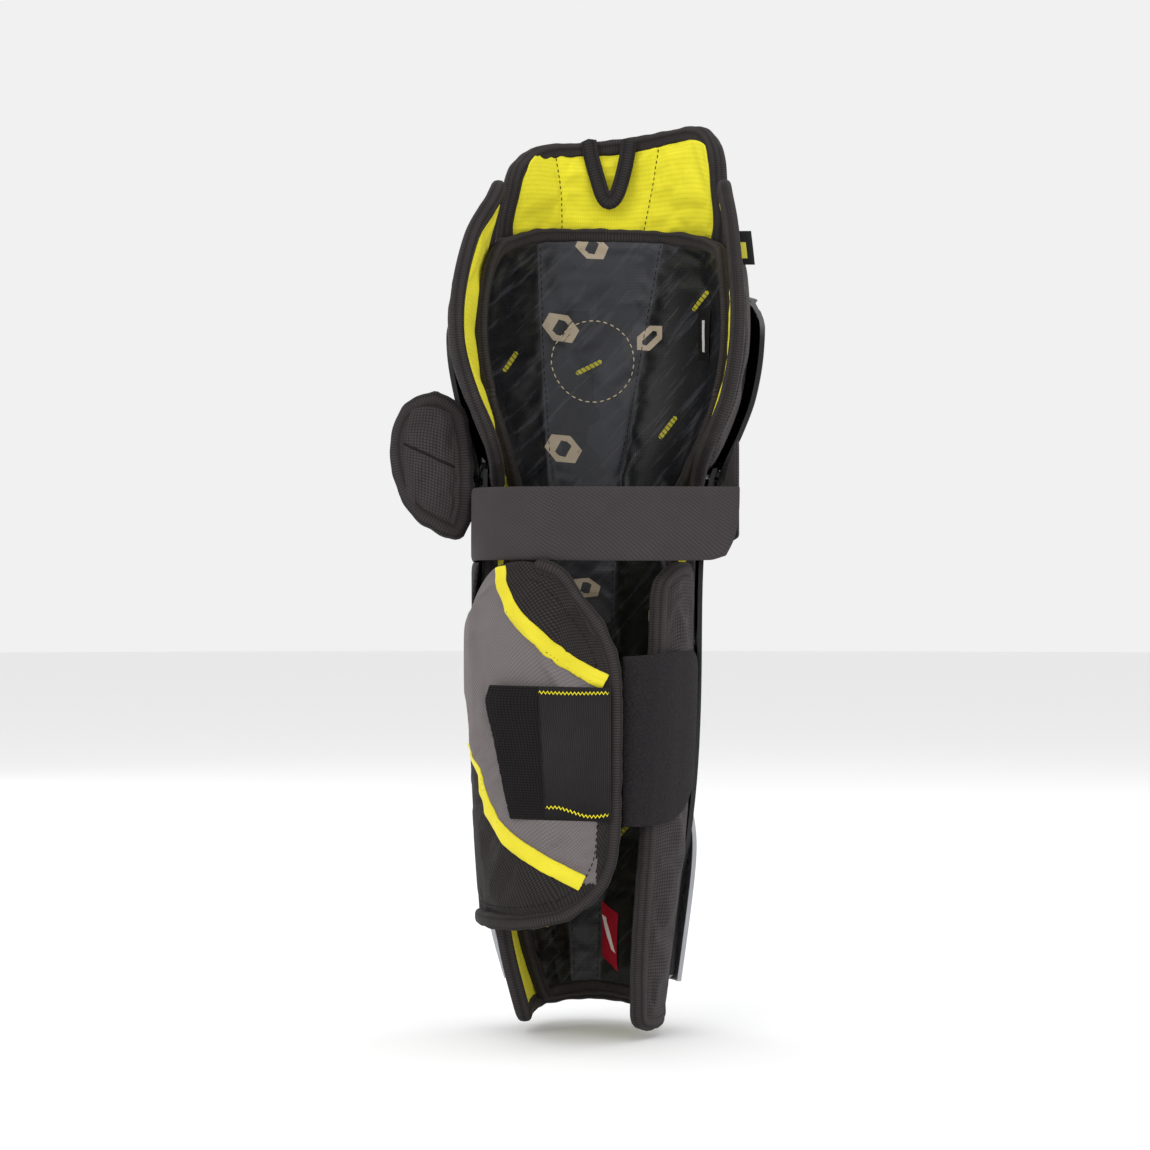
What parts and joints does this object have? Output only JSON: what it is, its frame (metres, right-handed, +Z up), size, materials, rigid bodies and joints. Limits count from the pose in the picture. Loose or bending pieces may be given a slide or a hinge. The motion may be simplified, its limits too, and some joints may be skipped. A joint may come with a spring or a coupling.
{
  "type": "ice hockey shin guard",
  "caption": "Left ice hockey shin guard: hinged knee cap and shin shell over padded channel, with fold-down thigh guard, calf wrap, side flap and rear straps.",
  "frame": {"origin": "on the leg's axis, level with the lowest point of the guard's foot", "axes": "+Z up the leg, +Y forwards through the shells, +X to the inner (medial) side; the leg goes in from -Y"},
  "size_m": [0.2166, 0.1659, 0.5233],
  "materials": {
    "black_shell": "injection-moulded polyethylene, satin gloss",
    "silver_plate": "moulded plastic, silver-grey satin",
    "rivet_steel": "plated steel rivet",
    "inner_plate": "cut polyethylene sheet",
    "eva_foam": "closed-cell foam",
    "lining_yellow": "brushed nylon lining over foam",
    "binding_black": "ribbed knit binding tape",
    "liner_print": "printed polyester satin over foam",
    "liner_tape": "ribbed knit binding tape",
    "knit_charcoal": "circular knit over foam",
    "twill_grey": "polyester twill and mesh",
    "elastic_black": "woven elastic",
    "loop_pile": "brushed loop pile",
    "hook_black": "moulded hook tape",
    "neoprene": "jersey-faced neoprene",
    "webbing": "flat woven webbing",
    "label_red": "woven satin label",
    "label_black": "woven satin label"
  },
  "bodies": {
    "shin": {"shin_shell": "black_shell", "front_plate": "silver_plate", "plate_rivets": "rivet_steel", "shin_pad": "lining_yellow", "shin_binding": "binding_black", "shin_liner": "liner_print", "shin_liner_binding": "liner_tape", "shin_liner_patches": "hook_black", "liner_label": "label_red", "calf_wrap_root": "knit_charcoal", "upper_strap_root": "neoprene", "strap_anchor": "knit_charcoal"},
    "knee": {"knee_cap": "black_shell", "knee_cap_foam": "eva_foam", "knee_pad": "lining_yellow", "knee_wing_plates": "inner_plate", "knee_binding": "binding_black", "knee_liner": "liner_print", "knee_liner_binding": "liner_tape", "knee_liner_patches": "hook_black", "pivot_rivets": "rivet_steel", "side_label": "label_black"},
    "thigh": {"thigh_pad": "lining_yellow", "thigh_plate": "inner_plate", "thigh_cover": "knit_charcoal", "thigh_binding": "binding_black"},
    "pull_loop": {"pull_loop": "webbing"},
    "calf_wrap": {"calf_wrap_pad": "lining_yellow", "calf_wrap_plate": "inner_plate", "calf_wrap_cover": "twill_grey", "calf_wrap_binding": "binding_black"},
    "calf_strap": {"calf_strap": "elastic_black", "calf_strap_hook": "hook_black"},
    "inner_wing": {"inner_wing_pad": "knit_charcoal", "inner_wing_plate": "inner_plate", "inner_wing_binding": "binding_black"},
    "loop_flap": {"loop_flap": "loop_pile"},
    "upper_strap": {"upper_strap": "neoprene", "upper_strap_hook": "hook_black"},
    "side_flap": {"side_flap_pad": "knit_charcoal", "side_flap_binding": "binding_black", "side_flap_hook": "hook_black"}
  },
  "joints": [
    {"name": "knee_flex", "type": "hinge", "parent": "shin", "child": "knee", "pos_m": [0, 0.016, 0.316], "axis": [1, 0, 0], "range_deg": [0, 12]},
    {"name": "thigh_fold", "type": "hinge", "parent": "knee", "child": "thigh", "pos_m": [0.006, 0.0735, 0.443], "axis": [-1, 0, 0], "range_deg": [0, 60]},
    {"name": "pull_loop_swing", "type": "hinge", "parent": "thigh", "child": "pull_loop", "pos_m": [0.0045, 0.0592, 0.5085], "axis": [-1, 0, 0], "range_deg": [0, 110]},
    {"name": "calf_wrap_open", "type": "hinge", "parent": "shin", "child": "calf_wrap", "pos_m": [-0.0755, -0.0081, 0.16], "axis": [0, 0, -1], "range_deg": [0, 110]},
    {"name": "calf_strap_peel", "type": "hinge", "parent": "calf_wrap", "child": "calf_strap", "pos_m": [0.0112, -0.0732, 0.16], "axis": [0, 0, 1], "range_deg": [0, 150]},
    {"name": "inner_wing_bend", "type": "hinge", "parent": "shin", "child": "inner_wing", "pos_m": [0.0565, -0.0052, 0.262], "axis": [0.0568, 0, 0.9984], "range_deg": [0, 30]},
    {"name": "loop_flap_lift", "type": "hinge", "parent": "inner_wing", "child": "loop_flap", "pos_m": [0.058, -0.0072, 0.17], "axis": [0, 0, 1], "range_deg": [0, 90]},
    {"name": "upper_strap_open", "type": "hinge", "parent": "shin", "child": "upper_strap", "pos_m": [-0.0632, -0.0455, 0.288], "axis": [0, 0, -1], "range_deg": [0, 120]},
    {"name": "side_flap_swing", "type": "hinge", "parent": "knee", "child": "side_flap", "pos_m": [-0.0765, -0.0132, 0.32], "axis": [0, 0, 1], "range_deg": [-30, 55]}
  ]
}
